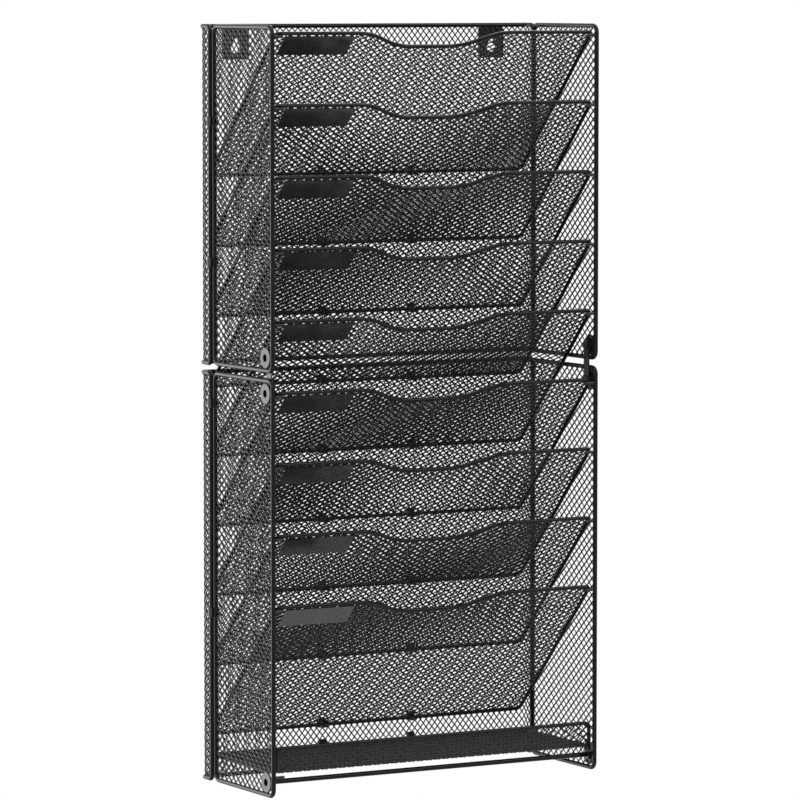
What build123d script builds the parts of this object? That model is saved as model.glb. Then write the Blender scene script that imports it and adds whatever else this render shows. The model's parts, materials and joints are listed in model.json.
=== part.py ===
"""Wall file organizer: two stacked expanded-metal units with nine slanted pockets and a bottom tray.

All sizes are millimetres. +X is right, -Y points out of the wall, +Z is up.
The origin lies on the wall, midway between the two hanger keyholes.
"""

import math
import os

from build123d import *

# Overall sizes
body_width = 330.0
body_depth = 132.3
upper_height = 296.6
lower_height = 361.0
unit_gap = 4.7
top_above_hangers = 21.4

# Wire, sheet and bends
hem_wire = 4.0
pocket_wire = 3.4
sheet = 0.8
hem_seat = 0.03
flange_corner = 3.5
panel_corner = 6.0
pocket_corner = 4.5

# Back panel flanges and the hinge line of the side panels
flange_depth = 20.4
hinge_step_in = 1.8
hinge_step_out = 4.4
clip_height = 8.0
clip_wall = 1.2
clip_clearance = 0.1
clip_slot_clearance = 0.25
upper_clip_pockets = (1, 3)
lower_clip_pockets = (5, 8)

# Pockets
pocket_count = 9
pocket_pitch = 61.3
first_rim_drop = 7.4
pocket_drop = 124.3
rim_setback = 4.0
heel_reach = 6.0
pocket_side_gap = 0.4
dip_top_width = 129.0
dip_low_width = 64.0
dip_depth = 16.5
dip_bend = 60.0

# Label plates
label_width = 67.6
label_height = 22.0
label_thickness = 0.8
label_inset = 11.6
label_below_rim = 1.2
label_corner = 1.0
label_seat = 0.02

# Hooks that hold the pockets' bottom wires, and pegs under their rims
hook_width = 8.0
hook_thickness = 1.2
hook_clearance = 0.3
hook_lip = 4.0
hook_tab = 5.0
hook_spacing = 90.0
peg_wire = 2.6
peg_length = 8.0
peg_clearance = 0.3
peg_seat = 0.02

# Tray
tray_rise = 21.5
lip_height = 21.0
lip_setback = 5.0

# Hangers
hanger_spacing = 258.0
hanger_width = 26.0
hanger_height = 27.2
hanger_thickness = 1.5
hanger_corner = 2.0
keyhole_round = 9.0
keyhole_neck = 4.6
keyhole_rise = 6.6
window_margin = 3.0

# Eyelets, links and the cross rod
eyelet_width = 18.0
eyelet_bore = 6.8
eyelet_lip = 1.4
eyelet_round = 0.6
eyelet_barrel = 9.0
eyelet_inset = 11.0
eyelet_seat = 0.05
barrel_clearance = 0.15
link_width = 8.0
link_thickness = 1.2
link_seat = 0.1
screw_shank = 6.5
screw_head = 7.6
screw_head_height = 1.8
screw_round = 0.5
screw_seat = 0.02
screw_end = 3.0
rod_wire = 4.4
spigot_length = 8.0

# Diamond gaps of the expanded metal
strand = 2.0
net_margin = 1.2
back_gap = (22.0, 26.0)
flange_gap = (11.0, 16.0)
side_gap = (22.0, 20.0)
pocket_gap = (32.0, 22.0)
floor_gap = (32.0, 22.0)
lip_gap = (22.0, 15.0)

# Levels and lines that follow from the sizes
top_z = top_above_hangers
upper_bottom_z = top_z - upper_height
lower_top_z = upper_bottom_z - unit_gap
bottom_z = lower_top_z - lower_height
units = {"upper": (top_z, upper_bottom_z), "lower": (lower_top_z, bottom_z)}

hem_r = hem_wire / 2
pocket_r = pocket_wire / 2
back_y = -hem_r
back_face_y = back_y - sheet / 2
flange_x = body_width / 2 - hem_r
flange_y = -(flange_depth - hem_r)
side_x = flange_x - hinge_step_in
hinge_y = flange_y - hinge_step_out
front_y = -(body_depth - hem_r)
side_inner_x = side_x - hem_r

rim_y = -(body_depth - rim_setback)
heel_y = -heel_reach
pocket_run = heel_y - rim_y
pocket_length = math.hypot(pocket_run, pocket_drop)
slope = Vector(0, -pocket_run / pocket_length, pocket_drop / pocket_length)
facing = Vector(0, -slope.Z, slope.Y)
pocket_x = side_inner_x - pocket_side_gap - pocket_r

floor_z = bottom_z + tray_rise
lip_y = -(body_depth - lip_setback)
eyelet_y = front_y + eyelet_inset
eyelet_levels = {
    "upper": [upper_bottom_z + hem_r + eyelet_inset],
    "lower": [lower_top_z - hem_r - eyelet_inset, bottom_z + hem_r + eyelet_inset],
}
link_outer_x = side_inner_x - link_seat

front_plane = Plane(origin=(0, back_y, 0), x_dir=(1, 0, 0), z_dir=(0, -1, 0))
left_plane = Plane(origin=(-side_x, 0, 0), x_dir=(0, -1, 0), z_dir=(-1, 0, 0))
flange_plane = Plane(origin=(-flange_x, 0, 0), x_dir=(0, -1, 0), z_dir=(-1, 0, 0))


def rim_z(pocket):
    """Height of a pocket's rim wire; pockets count from 1 at the top."""
    return top_z - first_rim_drop - pocket_pitch * (pocket - 1)


def pocket_plane(pocket):
    """Plane of a pocket's net: origin at the middle of its rim, y up the slope, z out of its face."""
    return Plane(origin=(0, rim_y, rim_z(pocket)), x_dir=(1, 0, 0), z_dir=facing)


def save(part, name):
    """Label a finished piece and write its STEP file."""
    part.label = name
    export_step(part, f"parts/{name}.step")


def save_both_sides(part, name):
    """Write a left piece and its mirror image on the right."""
    save(part, f"left_{name}")
    save(mirror(part, about=Plane.YZ), f"right_{name}")


def bent_wire(points, corner, wire):
    """Round wire bent along a closed route."""
    with BuildPart() as loop:
        with BuildLine() as route:
            FilletPolyline(*points, radius=corner, close=True)
        start = route.wires()[0]
        with BuildSketch(Plane(origin=start @ 0, z_dir=start % 0)):
            Circle(wire / 2)
        sweep()
    return loop.part


def gap_centres(middle, field, gap, fits):
    """Staggered grid of diamond gaps about the middle of a field, keeping those that fit whole."""
    (pitch_u, pitch_v), centres = gap, []
    columns, rows = (math.ceil(length / pitch) + 1 for length, pitch in zip(field, gap))
    half_u, half_v = pitch_u / 2 - strand / 2, pitch_v / 2 - strand / 2
    for row in range(-rows, rows + 1):
        for column in range(-columns, columns + 1):
            u = middle[0] + (column + row % 2 / 2) * pitch_u
            v = middle[1] + row * pitch_v / 2
            corners = ((u - half_u, v), (u + half_u, v), (u, v - half_v), (u, v + half_v))
            if all(fits(*corner) for corner in corners):
                centres.append((u, v))
    return centres


def diamond(gap):
    """Corners of one diamond gap."""
    half_u, half_v = gap[0] / 2 - strand / 2, gap[1] / 2 - strand / 2
    return [(-half_u, 0), (0, -half_v), (half_u, 0), (0, half_v)]


def clear_of(points, reach):
    """Test that a point of a net lies farther than reach from every given point."""
    return lambda u, v: all(math.hypot(u - pu, v - pv) > reach for pu, pv in points)


def framed_net(plane, outline, corner, wire, gap, fits, holes=()):
    """Sheet inside a wire frame: the frame's outline drawn in by its wire, with diamond gaps."""
    margin = wire / 2 + hem_seat + net_margin
    (low_u, high_u), (low_v, high_v) = ((min(axis), max(axis)) for axis in zip(*outline))
    middle, field = ((low_u + high_u) / 2, (low_v + high_v) / 2), (high_u - low_u, high_v - low_v)

    def whole(u, v):
        inside_u = low_u + margin < u < high_u - margin
        return inside_u and low_v + margin < v < high_v - margin and fits(u, v)

    with BuildPart() as net:
        with BuildSketch(plane.offset(-sheet / 2)):
            with BuildLine():
                FilletPolyline(*outline, radius=corner, close=True)
            make_face()
            offset(amount=-(wire / 2 + hem_seat))
            with Locations(*gap_centres(middle, field, gap, whole)):
                Polygon(*diamond(gap), align=None, mode=Mode.SUBTRACT)
            for hole, u, v in holes:
                with Locations((u, v)):
                    Circle(hole / 2, mode=Mode.SUBTRACT)
        extrude(amount=sheet)
    return net.part


def plain_net(plane, low, high, gap, fits=None, windows=()):
    """Rectangular sheet from corner to corner with diamond gaps and square windows."""
    middle = ((low[0] + high[0]) / 2, (low[1] + high[1]) / 2)
    field = (high[0] - low[0], high[1] - low[1])

    def whole(u, v):
        inside_u = low[0] + net_margin < u < high[0] - net_margin
        inside = inside_u and low[1] + net_margin < v < high[1] - net_margin
        return inside and (fits is None or fits(u, v))

    with BuildPart() as net:
        with BuildSketch(plane.offset(-sheet / 2)):
            with Locations(middle):
                Rectangle(*field)
            with Locations(*gap_centres(middle, field, gap, whole)):
                Polygon(*diamond(gap), align=None, mode=Mode.SUBTRACT)
            for u, v, width, height in windows:
                with Locations((u, v)):
                    Rectangle(width, height, mode=Mode.SUBTRACT)
        extrude(amount=sheet)
    return net.part


# Back panels: one folded sheet and one hem wire per unit
def back_wire(unit):
    """Hem wire of a back panel: along the top, round both side flanges and along the bottom."""
    high, low = units[unit][0] - hem_r, units[unit][1] + hem_r
    points = [(-flange_x, flange_y, high), (-flange_x, back_y, high), (flange_x, back_y, high)]
    points += [(flange_x, flange_y, high), (flange_x, flange_y, low), (flange_x, back_y, low)]
    points += [(-flange_x, back_y, low), (-flange_x, flange_y, low)]
    return bent_wire(points, flange_corner, hem_wire)


keyhole_window = (keyhole_round + 2 * window_margin, keyhole_rise + keyhole_round + 2 * window_margin)
keyhole_window_z = (keyhole_rise + keyhole_neck / 2 - keyhole_round / 2) / 2
hanger_z = top_z - hem_wire - hem_seat - hanger_height / 2


def back_net(unit):
    """Folded back sheet: a flat net with a narrow net on each side flange."""
    high, low = units[unit][0] - hem_wire - hem_seat, units[unit][1] + hem_wire + hem_seat
    reach = flange_x - sheet / 2 - hem_seat
    windows, fits = [], None
    if unit == "upper":
        for x in (-hanger_spacing / 2, hanger_spacing / 2):
            windows.append((x, keyhole_window_z, *keyhole_window))
        fits = clear_of([(x, z) for x, z, _, _ in windows], max(hanger_width, hanger_height) * 0.75)
    back = plain_net(front_plane, (-reach, low), (reach, high), back_gap, fits, windows)
    flange_reach = -flange_y - hem_r - hem_seat
    flange = plain_net(flange_plane, (hem_r - sheet / 2, low), (flange_reach, high), flange_gap)
    return Compound([*back.solids(), *flange.solids(), *mirror(flange, about=Plane.YZ).solids()])


def hanger_plate(x):
    """Plate behind the back sheet with a pear-shaped keyhole, flush with the wall."""
    with BuildPart() as plate:
        with BuildSketch(Plane(origin=(x, 0, 0), x_dir=(1, 0, 0), z_dir=(0, -1, 0))):
            with Locations((0, hanger_z)):
                RectangleRounded(hanger_width, hanger_height, hanger_corner)
            Circle(keyhole_round / 2, mode=Mode.SUBTRACT)
            with Locations((0, keyhole_rise / 2)):
                Rectangle(keyhole_neck, keyhole_rise, mode=Mode.SUBTRACT)
            with Locations((0, keyhole_rise)):
                Circle(keyhole_neck / 2, mode=Mode.SUBTRACT)
        extrude(amount=hanger_thickness)
    return plate.part


# Hinge clips: each snaps over a flange wire and lets a side panel's rear wire turn in it
def wire_level(pocket, y):
    """Height at which a pocket's side wire passes a line parallel to the wall."""
    return rim_z(pocket) - pocket_drop * (y - rim_y) / pocket_run


def hinge_clips():
    """Left clips of both units, halfway between pocket wires."""
    slot = sheet / 2 + clip_slot_clearance
    outer = hem_r + clip_clearance + clip_wall
    far = 3 * outer
    levels = [wire_level(k, hinge_y) + pocket_pitch / 2 for k in upper_clip_pockets + lower_clip_pockets]
    with BuildPart() as clips:
        for level in levels:
            with BuildSketch(Plane.XY.offset(level - clip_height / 2)):
                with Locations((-flange_x, flange_y), (-side_x, hinge_y)):
                    Circle(outer)
                make_hull()
                with Locations((-flange_x, flange_y), (-side_x, hinge_y)):
                    Circle(hem_r + clip_clearance, mode=Mode.SUBTRACT)
                with Locations((-flange_x, flange_y + far / 2)):
                    Rectangle(2 * slot, far, mode=Mode.SUBTRACT)
                with Locations((-side_x + slot - far / 2, hinge_y + slot - far / 2)):
                    Rectangle(far, far, mode=Mode.SUBTRACT)
            extrude(amount=clip_height)
    return clips.part


# Hooks on the back sheets
def draw_hook(direction):
    """Hook outline about its wire, open along a direction, with a tab that lies flat on the back sheet."""
    inner = pocket_r + hook_clearance
    outer = inner + hook_thickness
    opening = Location((0, 0, 0), (0, 0, math.degrees(math.atan2(direction.Z, -direction.Y))))
    Circle(outer)
    with Locations(opening * Location((hook_lip / 2, -outer / 2, 0))):
        Rectangle(hook_lip, outer)
    Circle(inner, mode=Mode.SUBTRACT)
    with Locations(opening * Location((outer, 0, 0))):
        Rectangle(2 * outer, 2 * inner, mode=Mode.SUBTRACT)
    with Locations(opening * Location((outer, outer, 0))):
        Rectangle(2 * outer, 2 * outer, mode=Mode.SUBTRACT)
    with Locations((heel_y - back_face_y + hook_thickness / 2, (hook_tab - outer) / 2)):
        Rectangle(hook_thickness, hook_tab + outer)


def hooks(pockets, tray):
    """Two hooks for each pocket's bottom wire, and two for the tray's rear wire."""
    seats = [(rim_z(k) - pocket_drop, slope) for k in pockets]
    seats += [(floor_z, Vector(0, -1, 0))] if tray else []
    with BuildPart() as group:
        for x in (-hook_spacing / 2, hook_spacing / 2):
            for z, direction in seats:
                place = Plane(origin=(x + hook_width / 2, heel_y, z), x_dir=(0, -1, 0), z_dir=(-1, 0, 0))
                with BuildSketch(place):
                    draw_hook(direction)
                extrude(amount=hook_width)
    return group.part


# Side panels
def side_outline(unit):
    """Wire centre line of a side panel in its own plane: distance from the wall, then height."""
    high, low = units[unit][0] - hem_r, units[unit][1] + hem_r
    return [(-hinge_y, low), (-front_y, low), (-front_y, high), (-hinge_y, high)]


def side_wire(unit):
    """Hem wire round a left side panel."""
    points = [left_plane.from_local_coords((u, v, 0)) for u, v in side_outline(unit)]
    return bent_wire(points, panel_corner, hem_wire)


def side_net(unit):
    """Net of a left side panel, pierced for its eyelets."""
    places = [(-eyelet_y, z) for z in eyelet_levels[unit]]
    holes = [(eyelet_barrel + 2 * barrel_clearance, u, v) for u, v in places]
    fits = clear_of(places, eyelet_width / 2)
    return framed_net(left_plane, side_outline(unit), panel_corner, hem_wire, side_gap, fits, holes)


def eyelets():
    """Left eyelets: a rolled flange outside the net and a barrel through it."""
    flange_x_in = sheet / 2 + eyelet_seat
    with BuildPart() as group:
        for z in eyelet_levels["upper"] + eyelet_levels["lower"]:
            place = Plane(origin=(-side_x, eyelet_y, z), x_dir=(0, -1, 0), z_dir=(-1, 0, 0))
            with BuildSketch(place.offset(flange_x_in)):
                Circle(eyelet_width / 2)
            extrude(amount=eyelet_lip)
            with BuildSketch(place.offset(-hem_r)):
                Circle(eyelet_barrel / 2)
            extrude(amount=hem_r + flange_x_in)
            outer_faces = group.faces().filter_by(Axis.X).group_by(Axis.X)[0]
            rims = outer_faces.edges().filter_by(lambda e: abs(e.radius - eyelet_width / 2) < hem_seat)
            fillet(rims.filter_by(lambda e: abs(e.arc_center.Z - z) < hem_r), radius=eyelet_round)
            with BuildSketch(place.offset(-hem_wire)):
                Circle(eyelet_bore / 2)
            extrude(amount=2 * hem_wire, mode=Mode.SUBTRACT)
    return group.part


def pegs():
    """Left pegs on the front hem, under each pocket's rim and under the tray's fold."""
    reach = pocket_r + peg_clearance + peg_wire / 2
    drop = (front_y - rim_y - facing.Y * reach) / slope.Y
    places = [Vector(0, rim_y, rim_z(k)) + facing * reach + slope * drop for k in range(1, pocket_count + 1)]
    places.append(Vector(0, front_y, floor_z - reach))
    with BuildPart() as group:
        for place in places:
            with BuildSketch(Plane(origin=(-side_inner_x + peg_seat, place.Y, place.Z), z_dir=(1, 0, 0))):
                Circle(peg_wire / 2)
            extrude(amount=peg_length)
    return group.part


link_levels = (eyelet_levels["upper"][0], eyelet_levels["lower"][0])


def link():
    """Left strap that joins the upper and lower side panels across the gap."""
    middle = sum(link_levels) / 2
    span = link_levels[0] - link_levels[1]
    with BuildPart() as strap:
        with BuildSketch(Plane(origin=(-link_outer_x, eyelet_y, middle), x_dir=(0, 0, 1), z_dir=(1, 0, 0))):
            SlotCenterToCenter(span, link_width)
            with Locations((-span / 2, 0), (span / 2, 0)):
                Circle(eyelet_bore / 2, mode=Mode.SUBTRACT)
        extrude(amount=link_thickness)
    return strap.part


def link_screws():
    """Left screws through the strap into the eyelets, heads inside."""
    head_x = -link_outer_x + link_thickness + screw_seat
    shank_end = side_x + sheet / 2 + eyelet_lip - screw_end
    with BuildPart() as group:
        for z in link_levels:
            place = Plane(origin=(head_x, eyelet_y, z), x_dir=(0, 1, 0), z_dir=(1, 0, 0))
            with BuildSketch(place):
                Circle(screw_head / 2)
            extrude(amount=screw_head_height)
            inner_faces = group.faces().filter_by(Axis.X).group_by(Axis.X)[-1]
            heads = inner_faces.edges().filter_by(lambda e: abs(e.arc_center.Z - z) < hem_r)
            fillet(heads, radius=screw_round)
            with BuildSketch(place):
                Circle(screw_shank / 2)
            extrude(amount=-(shank_end + head_x))
    return group.part


def cross_rod():
    """Tie rod between the bottom eyelets, with a thicker spigot at each end."""
    z = eyelet_levels["lower"][1]
    half = side_x + sheet / 2 + eyelet_lip - screw_end
    with BuildPart() as rod:
        with BuildSketch(Plane(origin=(-half, eyelet_y, z), z_dir=(1, 0, 0))):
            Circle(rod_wire / 2)
        extrude(amount=2 * half)
        for x, way in ((-half, 1), (half, -1)):
            with BuildSketch(Plane(origin=(x, eyelet_y, z), z_dir=(way, 0, 0))):
                Circle(screw_shank / 2)
            extrude(amount=spigot_length)
    return rod.part


# Pockets
def pocket_outline():
    """Wire centre line of a pocket on its slope, with the finger dip in its rim."""
    top, low = dip_top_width / 2, dip_low_width / 2
    points = [(-pocket_x, -pocket_length), (pocket_x, -pocket_length), (pocket_x, 0), (top, 0)]
    points += [(low, -dip_depth), (-low, -dip_depth), (-top, 0), (-pocket_x, 0)]
    bends = [pocket_corner] * 3 + [dip_bend] * 4 + [pocket_corner]
    return points, bends


def below_dip(u, v):
    """Test that a point of a pocket's net lies below the rim's dip."""
    top, low = dip_top_width / 2, dip_low_width / 2
    share = min(max((top - abs(u)) / (top - low), 0), 1)
    return v < -dip_depth * share - pocket_wire - net_margin


def pocket_wire_loop(pocket):
    """Frame wire of a pocket."""
    points, bends = pocket_outline()
    plane = pocket_plane(pocket)
    return bent_wire([plane.from_local_coords((u, v, 0)) for u, v in points], bends, pocket_wire)


def pocket_net(pocket):
    """Net stretched in a pocket's frame."""
    points, bends = pocket_outline()
    return framed_net(pocket_plane(pocket), points, bends, pocket_wire, pocket_gap, below_dip)


def label_plate(pocket):
    """Plain plate on the face of a pocket, under the left end of its rim."""
    left = -pocket_x - pocket_r + label_inset
    top = -pocket_r - label_below_rim
    with BuildPart() as plate:
        with BuildSketch(pocket_plane(pocket).offset(sheet / 2 + label_seat)):
            with Locations((left + label_width / 2, top - label_height / 2)):
                RectangleRounded(label_width, label_height, label_corner)
        extrude(amount=label_thickness)
    return plate.part


# Tray
def tray_wire():
    """Hem wire of the tray: over the lip, down its ends and round the floor."""
    lip_z = floor_z + lip_height
    points = [(-pocket_x, lip_y, lip_z), (pocket_x, lip_y, lip_z), (pocket_x, lip_y, floor_z)]
    points += [(pocket_x, heel_y, floor_z), (-pocket_x, heel_y, floor_z), (-pocket_x, lip_y, floor_z)]
    return bent_wire(points, pocket_corner, pocket_wire)


def tray_net():
    """Folded tray sheet: a flat floor and an upright lip, drawn in from the hem wire."""
    reach = pocket_x - pocket_corner
    seat = pocket_r + hem_seat
    floor_plane = Plane(origin=(0, 0, floor_z), x_dir=(1, 0, 0), z_dir=(0, 0, 1))
    lip_plane = Plane(origin=(0, lip_y, 0), x_dir=(1, 0, 0), z_dir=(0, -1, 0))
    floor_front = lip_y + sheet / 2 + hem_seat
    floor = plain_net(floor_plane, (-reach, floor_front), (reach, heel_y - seat), floor_gap)
    lip = plain_net(lip_plane, (-reach, floor_z - sheet / 2), (reach, floor_z + lip_height - seat), lip_gap)
    return Compound([*floor.solids(), *lip.solids()])


os.makedirs("parts", exist_ok=True)

for unit in units:
    save(back_wire(unit), f"{unit}_back_frame")
    save(back_net(unit), f"{unit}_back_mesh")
    save_both_sides(side_wire(unit), f"{unit}_side_frame")
    save_both_sides(side_net(unit), f"{unit}_side_mesh")

save(hanger_plate(-hanger_spacing / 2), "left_hanger_plate")
save(hanger_plate(hanger_spacing / 2), "right_hanger_plate")

heel_levels = {k: rim_z(k) - pocket_drop for k in range(1, pocket_count + 1)}
save(hooks([k for k, z in heel_levels.items() if z > lower_top_z], False), "upper_pocket_hooks")
save(hooks([k for k, z in heel_levels.items() if z < lower_top_z], True), "lower_pocket_hooks")

save_both_sides(hinge_clips(), "hinge_clips")
save_both_sides(eyelets(), "eyelets")
save_both_sides(pegs(), "rim_pegs")
save_both_sides(link(), "link_strap")
save_both_sides(link_screws(), "link_screws")
save(cross_rod(), "cross_rod")

for pocket in range(1, pocket_count + 1):
    save(pocket_wire_loop(pocket), f"pocket_{pocket}_frame")
    save(pocket_net(pocket), f"pocket_{pocket}_mesh")
    save(label_plate(pocket), f"pocket_{pocket}_label_plate")

save(tray_wire(), "tray_frame")
save(tray_net(), "tray_mesh")
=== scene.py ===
"""Wall file organizer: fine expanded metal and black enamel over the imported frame.

All lengths are metres, in the frame's own axes: +X right, -Y out of the wall, +Z up.
"""
import json
import math

import bpy
import numpy as np
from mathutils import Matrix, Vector


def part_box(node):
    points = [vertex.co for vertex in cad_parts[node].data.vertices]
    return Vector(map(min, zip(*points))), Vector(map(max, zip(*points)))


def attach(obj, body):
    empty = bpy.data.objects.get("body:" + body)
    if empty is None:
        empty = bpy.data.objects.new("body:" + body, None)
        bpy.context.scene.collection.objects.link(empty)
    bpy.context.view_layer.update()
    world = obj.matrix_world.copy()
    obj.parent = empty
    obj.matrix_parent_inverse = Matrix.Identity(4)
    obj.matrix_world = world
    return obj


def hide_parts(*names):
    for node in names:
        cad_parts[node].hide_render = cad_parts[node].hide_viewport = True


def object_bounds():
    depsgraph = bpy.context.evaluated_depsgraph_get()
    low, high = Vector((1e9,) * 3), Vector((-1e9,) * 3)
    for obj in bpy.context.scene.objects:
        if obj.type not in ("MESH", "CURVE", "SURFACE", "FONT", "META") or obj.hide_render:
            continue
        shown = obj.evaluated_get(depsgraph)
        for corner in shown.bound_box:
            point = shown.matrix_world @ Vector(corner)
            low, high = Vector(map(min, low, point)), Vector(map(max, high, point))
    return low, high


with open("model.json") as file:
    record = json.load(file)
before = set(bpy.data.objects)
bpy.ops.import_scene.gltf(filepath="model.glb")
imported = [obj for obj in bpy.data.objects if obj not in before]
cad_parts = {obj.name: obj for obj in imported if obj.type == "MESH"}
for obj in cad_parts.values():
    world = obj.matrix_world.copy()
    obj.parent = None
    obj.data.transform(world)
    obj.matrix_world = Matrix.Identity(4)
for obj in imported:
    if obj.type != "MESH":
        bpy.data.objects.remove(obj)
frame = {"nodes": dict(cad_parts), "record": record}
cad_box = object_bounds()

MM = 0.001
POCKETS = range(1, 10)
UNITS = ("upper", "lower")
SIDES = ("left", "right")

# Expanded metal
STRAND_WIDTH = 1.05 * MM
SIDE_STRAND_WIDTH = 1.28 * MM
STRAND_DEPTH = 0.62 * MM
STRAND_TWIST = math.radians(24)
SEAT = 0.15 * MM
HALVINGS = 20
BACK_CELL = (5.9 * MM, 7.15 * MM)
SIDE_CELL = (8.6 * MM, 7.4 * MM)
POCKET_CELL = (8.6 * MM, 5.9 * MM)
FOLD_RADIUS = 2.5 * MM
BACK_CORNER = 1.5 * MM
TRAY_CORNER = 1.0 * MM

# Wires and holes of the frame that the metal meets
HEM_R = 2.0 * MM
POCKET_R = 1.7 * MM
PANEL_CORNER = 6.0 * MM
POCKET_CORNER = 4.5 * MM
DIP_TOP = 64.5 * MM
DIP_LOW = 32.0 * MM
DIP_DEPTH = 16.5 * MM
DIP_BEND = 60.0 * MM
BARREL_HOLE = 4.65 * MM
KEYHOLE_X = 129.0 * MM
KEYHOLE_WINDOW = (7.5 * MM, 10.8 * MM)
KEYHOLE_WINDOW_Z = 2.2 * MM
WINDOW_CORNER = 2.0 * MM
ROD_R = 2.2 * MM
ROD_SEAT = 0.7 * MM
ROD_SIDES = 40
ROD_EDGE = math.radians(40)

# Camera, fitted to the photograph's wire edges
IMAGE_SIDE = 800
FOCAL_PIXELS = 4973
SENSOR = 36.0
EYE = (-2.1327, -3.8658, 0.0540)
AIM = (-0.0019, -0.0678, -0.3084)

# Studio
FLOOR_DROP = 0.30
FLOOR_RADIUS = 1.2
FLOOR_SIDES = 96
FLOOR_GREY = (0.86, 0.86, 0.86, 1)
WORLD_FILL = 0.45
LAMPS = {  # place, side of the square, power in watts
    "left_key": ((-2.6, -1.2, 0.9), 1.2, 32),
    "left_rim": ((-1.7, 1.8, -0.4), 2.1, 60),
    "top_light": ((-0.3, -0.6, 2.0), 1.0, 25),
    "rear_top": ((1.1, 1.3, 1.6), 0.9, 20),
    "right_fill": ((1.3, -1.7, 1.1), 1.3, 20),
}


# Expanded metal as bars on a diamond lattice
def diamond_strands(low, high, cell, inside):
    """Strands of a diamond lattice within an outline, as two arrays of ends.

    Nodes stand on a grid of half cells where the row and column add up to an even number. One strand
    rises from each node to the right and one to the left. A strand that crosses the outline ends
    there, at the place that repeated halving between its inner and outer end finds.
    """
    half = np.array(cell) / 2
    first = np.floor(np.array(low) / half).astype(int) - 2
    last = np.ceil(np.array(high) / half).astype(int) + 2
    column, row = np.meshgrid(np.arange(first[0], last[0]), np.arange(first[1], last[1]))
    even = (column + row) % 2 == 0
    node = np.stack([column[even], row[even]], 1) * half
    start = np.concatenate([node, node])
    end = np.concatenate([node + half, node + half * (-1, 1)])
    start_in, end_in = inside(start) > 0, inside(end) > 0
    kept = start_in | end_in
    whole = (start_in & end_in)[kept]
    inner = np.where(start_in[:, None], start, end)[kept]
    outer = np.where(start_in[:, None], end, start)[kept]
    near, far = np.zeros(len(inner)), np.ones(len(inner))
    for _ in range(HALVINGS):
        middle = (near + far) / 2
        within = inside(inner + (outer - inner) * middle[:, None]) > 0
        near, far = np.where(within, middle, near), np.where(within, far, middle)
    reach = np.where(whole, 1.0, near)
    return inner, inner + (outer - inner) * reach[:, None]


def strand_bars(start, end, width=STRAND_WIDTH):
    """Eight corners of a flat bar along each strand, as an (n, 8, 3) array of across, up and out.

    Each end of a strand carries the four corners of a rectangle, the width by the depth, which is
    square to the strand and turned about it by the twist. The broad side so leans out of the sheet,
    its lower edge forward, as in slit and stretched metal, and catches light from above.
    """
    along = end - start
    length = np.linalg.norm(along, axis=1, keepdims=True)
    kept = length[:, 0] > STRAND_DEPTH
    start, end, along = start[kept], end[kept], (along / np.maximum(length, 1e-9))[kept]
    side = np.stack([-along[:, 1], along[:, 0]], 1)
    side = side * np.where(side[:, 1:] < 0, -1.0, 1.0)
    flat = np.zeros((len(side), 1))
    lean, level = math.sin(STRAND_TWIST), math.cos(STRAND_TWIST)
    broad = np.hstack([side * level, flat - lean]) * width / 2
    thick = np.hstack([side * lean, flat + level]) * STRAND_DEPTH / 2
    ends = [np.hstack([start, flat]), np.hstack([end, flat])]
    signs = ((-1, -1), (1, -1), (1, 1), (-1, 1))
    return np.stack([tip + broad * a + thick * b for tip in ends for a, b in signs], 1)


BAR_FACES = np.array([[0, 1, 5, 4], [1, 2, 6, 5], [2, 3, 7, 6], [3, 0, 4, 7],
                      [3, 2, 1, 0], [4, 5, 6, 7]])


def outward(points):
    """Face list of bars, turned round on those whose corners run the other way in space."""
    first, second = points[:, 1] - points[:, 0], points[:, 3] - points[:, 0]
    along = points[:, 4] - points[:, 0]
    turned = np.einsum("ij,ij->i", np.cross(first, second), along) < 0
    faces = np.where(turned[:, None, None], BAR_FACES[None, :, ::-1], BAR_FACES[None])
    return faces + (np.arange(len(points)) * 8)[:, None, None]


def metal_piece(name, node, body, bars):
    """One object from arrays of bars in space; it stands for a net of the frame."""
    points = np.concatenate(bars)
    faces = outward(points).reshape(-1, 4)
    mesh = bpy.data.meshes.new(name)
    mesh.vertices.add(points.shape[0] * 8)
    mesh.vertices.foreach_set("co", points.reshape(-1).astype(np.float32))
    mesh.loops.add(faces.size)
    mesh.loops.foreach_set("vertex_index", faces.reshape(-1).astype(np.int32))
    mesh.polygons.add(len(faces))
    mesh.polygons.foreach_set("loop_start", (np.arange(len(faces)) * 4).astype(np.int32))
    mesh.update(calc_edges=True)
    mesh.validate()
    piece = bpy.data.objects.new(name, mesh)
    bpy.context.scene.collection.objects.link(piece)
    mesh.materials.append(METAL_FINISH)
    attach(piece, body)
    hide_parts(node)


# Outlines: each gives how far a point lies inside, positive within
def rounded_box(low, high, corner):
    """Distance inside a box with round corners: the radius less the distance to the shrunken box."""
    middle, half = (np.array(low) + high) / 2, (np.array(high) - low) / 2

    def inside(p):
        q = np.abs(p - middle) - half + corner
        over = np.linalg.norm(np.maximum(q, 0), axis=1)
        return corner - over - np.minimum(np.maximum(q[:, 0], q[:, 1]), 0)

    return inside


def without(inside, *others):
    """An outline with other outlines taken out of it."""
    return lambda p: np.minimum.reduce([inside(p), *[-other(p) for other in others]])


def disc(centre, radius):
    """Distance inside a circle: its radius less the distance to its centre."""
    return lambda p: radius - np.linalg.norm(p - np.array(centre), axis=1)


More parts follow.
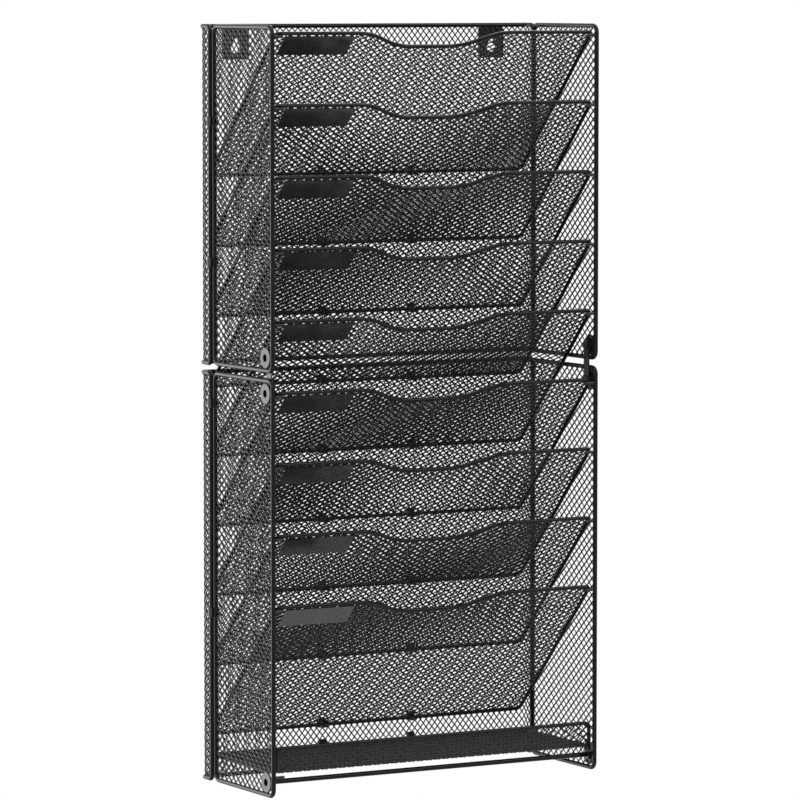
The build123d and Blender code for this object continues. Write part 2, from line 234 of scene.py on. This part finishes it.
def dip_height(u):
    """Rim height across a pocket: flat, an arc down, a straight ramp, an arc back and the low flat."""
    slope = math.atan2(DIP_DEPTH, DIP_TOP - DIP_LOW)
    tangent = DIP_BEND * math.tan(slope / 2)
    span = DIP_BEND * math.sin(slope)
    arc = lambda t: DIP_BEND - np.sqrt(DIP_BEND**2 - np.clip(t, 0, span) ** 2)
    d = np.abs(u)
    low_start, high_end = DIP_LOW - tangent, DIP_TOP + tangent
    ramp = np.clip(d - low_start - span, 0, high_end - low_start - 2 * span) * math.tan(slope)
    return arc(d - low_start) + ramp + arc(span) - arc(high_end - d) - DIP_DEPTH


# Back sheets, folded into side flanges
def back_sheet(unit):
    """Folded net: the flat width runs on round a small bend into each flange.

    Along the unrolled sheet the distance from the middle is flat, then an arc of the fold's radius,
    then straight forward; the offset out of the sheet shortens that radius.
    """
    low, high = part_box(f"{unit}_back_frame")
    wall_y, flange_y = high[1] - HEM_R, low[1] + HEM_R
    flat = high[0] - HEM_R - FOLD_RADIUS
    bend = FOLD_RADIUS * math.pi / 2
    straight = wall_y - flange_y - FOLD_RADIUS
    inset = HEM_R - SEAT
    reach = flat + bend + straight - inset
    low_uv = np.array([-reach, low[2] + HEM_R + inset])
    high_uv = np.array([reach, high[2] - HEM_R - inset])
    inside = rounded_box(low_uv, high_uv, BACK_CORNER)
    if unit == "upper":
        half = np.array(KEYHOLE_WINDOW)
        centres = [np.array([x, KEYHOLE_WINDOW_Z]) for x in (-KEYHOLE_X, KEYHOLE_X)]
        inside = without(inside, *[rounded_box(c - half, c + half, WINDOW_CORNER) for c in centres])
    bars = strand_bars(*diamond_strands(low_uv, high_uv, BACK_CELL, inside))
    across, up, out = bars[..., 0], bars[..., 1], bars[..., 2]
    distance = np.abs(across)
    angle = np.clip((distance - flat) / FOLD_RADIUS, 0, math.pi / 2)
    beyond = np.maximum(distance - flat - bend, 0)
    radius = FOLD_RADIUS - out
    x = np.sign(across) * (np.minimum(distance, flat) + radius * np.sin(angle))
    y = wall_y - FOLD_RADIUS + radius * np.cos(angle) - beyond
    metal_piece(f"{unit}_back_metal", f"{unit}_back_mesh", "back", [np.stack([x, y, up], -1)])


# Side panels
def side_sheet(side, unit):
    """Flat net in a side panel's frame, pierced for its eyelets.

    Across the sheet runs along Y and up along Z; the offset out of it points away from the middle.
    """
    low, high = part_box(f"{side}_{unit}_side_frame")
    x = (low[0] + high[0]) / 2
    inset = HEM_R - SEAT
    low_uv = np.array([low[1], low[2]]) + HEM_R + inset
    high_uv = np.array([high[1], high[2]]) - HEM_R - inset
    inside = rounded_box(low_uv, high_uv, PANEL_CORNER - inset)
    eye_low, eye_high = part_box(f"{side}_eyelets")
    eye_r = (eye_high[1] - eye_low[1]) / 2
    eye_y = (eye_low[1] + eye_high[1]) / 2
    strap_low, strap_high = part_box(f"{side}_link_strap")
    strap_r = (strap_high[1] - strap_low[1]) / 2
    if unit == "upper":
        heights = [strap_high[2] - strap_r]
    else:
        heights = [strap_low[2] + strap_r, eye_low[2] + eye_r]
    inside = without(inside, *[disc((eye_y, z), BARREL_HOLE) for z in heights])
    bars = strand_bars(*diamond_strands(low_uv, high_uv, SIDE_CELL, inside), SIDE_STRAND_WIDTH)
    outer = 1 if side == "right" else -1
    place = np.stack([x + outer * bars[..., 2], bars[..., 0], bars[..., 1]], -1)
    metal_piece(f"{side}_{unit}_side_metal", f"{side}_{unit}_side_mesh", f"{side}_side", [place])


# Pockets
def pocket_sheet(pocket):
    """Flat net on a pocket's slope, under the rim with its finger dip.

    A place is the rim's middle plus across along X, up along the slope and out square to both.
    """
    low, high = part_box(f"pocket_{pocket}_frame")
    rim = np.array([0, low[1] + POCKET_R, high[2] - POCKET_R])
    heel = np.array([0, high[1] - POCKET_R, low[2] + POCKET_R])
    length = np.linalg.norm(rim - heel)
    up = (rim - heel) / length
    facing = np.array([0, -up[2], up[1]])
    half = high[0] - POCKET_R
    inset = POCKET_R - SEAT
    low_uv, high_uv = np.array([-half, -length]) + inset, np.array([half, 0]) - inset
    box = rounded_box(low_uv, high_uv, POCKET_CORNER - inset)
    inside = lambda p: np.minimum(box(p), dip_height(p[:, 0]) - inset - p[:, 1])
    bars = strand_bars(*diamond_strands(low_uv, high_uv, POCKET_CELL, inside))
    place = rim + bars[..., :1] * (1, 0, 0) + bars[..., 1:2] * up + bars[..., 2:] * facing
    metal_piece(f"pocket_{pocket}_metal", f"pocket_{pocket}_mesh", f"pocket_{pocket}", [place])


# Tray
def tray_sheet():
    """Floor net, level, and lip net, upright, that meet along the tray's front fold."""
    low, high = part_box("tray_frame")
    half = high[0] - POCKET_R
    inset = POCKET_R - SEAT
    floor_z, lip_y = low[2] + POCKET_R, low[1] + POCKET_R

    def net(low_uv, high_uv):
        inside = rounded_box(low_uv, high_uv, TRAY_CORNER)
        return strand_bars(*diamond_strands(low_uv, high_uv, POCKET_CELL, inside))

    floor = net(np.array([-half + inset, lip_y]), np.array([half - inset, high[1] - POCKET_R - inset]))
    lip = net(np.array([-half + inset, floor_z]), np.array([half, high[2] - POCKET_R]) - inset)
    floor_place = np.stack([floor[..., 0], floor[..., 1], floor_z + floor[..., 2]], -1)
    lip_place = np.stack([lip[..., 0], lip_y - lip[..., 2], lip[..., 1]], -1)
    metal_piece("tray_metal", "tray_mesh", "back", [floor_place, lip_place])


# Cross rod
def tie_rod():
    """Slim rod between the bottom eyelets: a circle carried along X, wide only inside the eyelets.

    The profile lists places along X with the circle's radius at each; walls join neighbouring
    circles and a flat cap closes each end.
    """
    low, high = (np.array(corner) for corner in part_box("cross_rod"))
    tip, neck = high[0], high[0] - ROD_SEAT
    wide = (high[2] - low[2]) / 2
    along = np.array([-tip, -neck, -neck, neck, neck, tip])[:, None]
    radius = np.array([wide, wide, ROD_R, ROD_R, wide, wide])[:, None]
    turn = np.arange(ROD_SIDES) * 2 * math.pi / ROD_SIDES
    middle_y, middle_z = (low[1:] + high[1:]) / 2
    y, z = middle_y + radius * np.cos(turn), middle_z + radius * np.sin(turn)
    rings = np.stack([np.broadcast_to(along, y.shape), y, z], -1)
    ring, step = np.meshgrid(np.arange(len(along) - 1), np.arange(ROD_SIDES), indexing="ij")
    here, after = ring * ROD_SIDES + step, ring * ROD_SIDES + (step + 1) % ROD_SIDES
    walls = np.stack([here, after, after + ROD_SIDES, here + ROD_SIDES], -1).reshape(-1, 4)
    first, last = np.arange(ROD_SIDES), np.arange(ROD_SIDES) + (len(along) - 1) * ROD_SIDES
    caps = [first[::-1].tolist(), last.tolist()]
    mesh = bpy.data.meshes.new("tie_rod")
    mesh.from_pydata(rings.reshape(-1, 3).tolist(), [], walls.tolist() + caps)
    mesh.polygons.foreach_set("use_smooth", np.ones(len(mesh.polygons), dtype=bool))
    mesh.set_sharp_from_angle(angle=ROD_EDGE)
    mesh.materials.append(FINISHES["wire"])
    rod = bpy.data.objects.new("tie_rod", mesh)
    bpy.context.scene.collection.objects.link(rod)
    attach(rod, "back")
    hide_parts("cross_rod")


# Finishes
def enamel(name, colour, roughness, grain, relief, specular):
    """Black stoved enamel: cloudy gloss, a fine orange-peel relief and a faint film of dust.

    A broad noise moves the roughness, a fine noise gives the relief, and a middle noise, kept to its
    highest values, lifts the colour slightly as dust does.
    """
    material = bpy.data.materials.new(name)
    material.use_nodes = True
    nodes, links = material.node_tree.nodes, material.node_tree.links
    shader = nodes["Principled BSDF"]
    shader.inputs["Specular IOR Level"].default_value = specular
    place = nodes.new("ShaderNodeTexCoord")

    def noise(scale, detail):
        texture = nodes.new("ShaderNodeTexNoise")
        texture.inputs["Scale"].default_value = scale
        texture.inputs["Detail"].default_value = detail
        links.new(place.outputs["Object"], texture.inputs["Vector"])
        return texture.outputs["Fac"]

    def remap(value, low, high, to_low, to_high):
        span = nodes.new("ShaderNodeMapRange")
        links.new(value, span.inputs["Value"])
        ends = {"From Min": low, "From Max": high, "To Min": to_low, "To Max": to_high}
        for socket, number in ends.items():
            span.inputs[socket].default_value = number
        return span.outputs["Result"]

    cloudy = remap(noise(35, 3), 0.3, 0.7, roughness - 0.05, roughness + 0.07)
    links.new(cloudy, shader.inputs["Roughness"])
    dust = remap(noise(140, 4), 0.55, 0.8, 0.0, 1.0)
    blend = nodes.new("ShaderNodeMix")
    blend.data_type = "RGBA"
    links.new(dust, blend.inputs["Factor"])
    blend.inputs["A"].default_value = (*colour, 1)
    blend.inputs["B"].default_value = (*(c * 1.8 + 0.004 for c in colour), 1)
    links.new(blend.outputs["Result"], shader.inputs["Base Color"])
    bump = nodes.new("ShaderNodeBump")
    bump.inputs["Strength"].default_value = relief
    bump.inputs["Distance"].default_value = 0.1 * MM
    links.new(noise(grain, 2), bump.inputs["Height"])
    links.new(bump.outputs["Normal"], shader.inputs["Normal"])
    return material


METAL_FINISH = enamel("expanded_metal_enamel", (0.008, 0.008, 0.009), 0.25, 1600, 0.12, 0.35)
FINISHES = {
    "wire": enamel("hem_wire_enamel", (0.004, 0.004, 0.005), 0.14, 1200, 0.06, 0.14),
    "plate": enamel("label_plate_enamel", (0.020, 0.020, 0.022), 0.16, 900, 0.06, 0.95),
    "fittings": enamel("fitting_enamel", (0.011, 0.011, 0.012), 0.30, 1200, 0.10, 0.25),
    "mesh": METAL_FINISH,
}


def finish_nodes():
    """Give every node its slot's finish, but the hanger plates the duller one of the fittings."""
    slots = {part["node"]: part["material_slot"] for part in frame["record"]["subparts"]}
    for name, node in frame["nodes"].items():
        node.data.materials.clear()
        node.data.materials.append(FINISHES["fittings" if "hanger" in name else slots[name]])


# Studio
def studio_world():
    """White to the eye and in gloss, softer as a light."""
    world = bpy.data.worlds.new("studio")
    bpy.context.scene.world = world
    world.use_nodes = True
    nodes, links = world.node_tree.nodes, world.node_tree.links
    path = nodes.new("ShaderNodeLightPath")
    seen = path.outputs["Is Camera Ray"]
    for ray in ("Is Glossy Ray", "Is Transmission Ray"):
        either = nodes.new("ShaderNodeMath")
        either.operation = "MAXIMUM"
        links.new(seen, either.inputs[0])
        links.new(path.outputs[ray], either.inputs[1])
        seen = either.outputs["Value"]
    level = nodes.new("ShaderNodeMapRange")
    links.new(seen, level.inputs["Value"])
    level.inputs["To Min"].default_value = WORLD_FILL
    background = nodes["Background"]
    background.inputs["Color"].default_value = (1, 1, 1, 1)
    links.new(level.outputs["Result"], background.inputs["Strength"])


def studio_floor():
    """Pale round floor under the organizer, clear from below."""
    low, high = cad_box
    turn = np.linspace(0, 2 * math.pi, FLOOR_SIDES + 1)[:-1]
    ring = np.stack([np.cos(turn), np.sin(turn), np.zeros_like(turn)], 1) * FLOOR_RADIUS
    points = ring + (0, (low[1] + high[1]) / 2, low[2] - FLOOR_DROP)
    mesh = bpy.data.meshes.new("floor")
    mesh.from_pydata(points.tolist(), [], [list(range(len(points)))])
    floor = bpy.data.objects.new("floor", mesh)
    bpy.context.scene.collection.objects.link(floor)
    material = bpy.data.materials.new("pale_floor")
    material.use_nodes = True
    nodes, links = material.node_tree.nodes, material.node_tree.links
    shader = nodes["Principled BSDF"]
    shader.inputs["Base Color"].default_value = FLOOR_GREY
    shader.inputs["Roughness"].default_value = 0.8
    kinds = ("BsdfTransparent", "NewGeometry", "MixShader")
    clear, side, mix = (nodes.new(f"ShaderNode{kind}") for kind in kinds)
    links.new(side.outputs["Backfacing"], mix.inputs["Fac"])
    links.new(shader.outputs["BSDF"], mix.inputs[1])
    links.new(clear.outputs["BSDF"], mix.inputs[2])
    links.new(mix.outputs["Shader"], nodes["Material Output"].inputs["Surface"])
    mesh.materials.append(material)


def softbox(name, place, size, power):
    """Square area lamp that faces the middle of the organizer."""
    lamp = bpy.data.lights.new(name, "AREA")
    lamp.shape = "SQUARE"
    lamp.size, lamp.energy = size, power
    box = bpy.data.objects.new(name, lamp)
    box.location = place
    box.rotation_euler = (Vector(AIM) - Vector(place)).to_track_quat("-Z", "Y").to_euler()
    bpy.context.scene.collection.objects.link(box)


def photo_camera():
    """Camera where the photograph was taken from."""
    lens = bpy.data.cameras.new("camera")
    lens.sensor_width = SENSOR
    lens.lens = FOCAL_PIXELS / IMAGE_SIDE * SENSOR
    lens.clip_start, lens.clip_end = 0.05, 50
    camera = bpy.data.objects.new("camera", lens)
    camera.location = EYE
    camera.rotation_euler = (Vector(AIM) - Vector(EYE)).to_track_quat("-Z", "Y").to_euler()
    bpy.context.scene.collection.objects.link(camera)
    bpy.context.scene.camera = camera


bpy.context.scene.view_settings.view_transform = "Standard"
finish_nodes()
for unit in UNITS:
    back_sheet(unit)
    for side in SIDES:
        side_sheet(side, unit)
for pocket in POCKETS:
    pocket_sheet(pocket)
tray_sheet()
tie_rod()
studio_world()
studio_floor()
for lamp_name, (place, size, power) in LAMPS.items():
    softbox(lamp_name, place, size, power)
photo_camera()
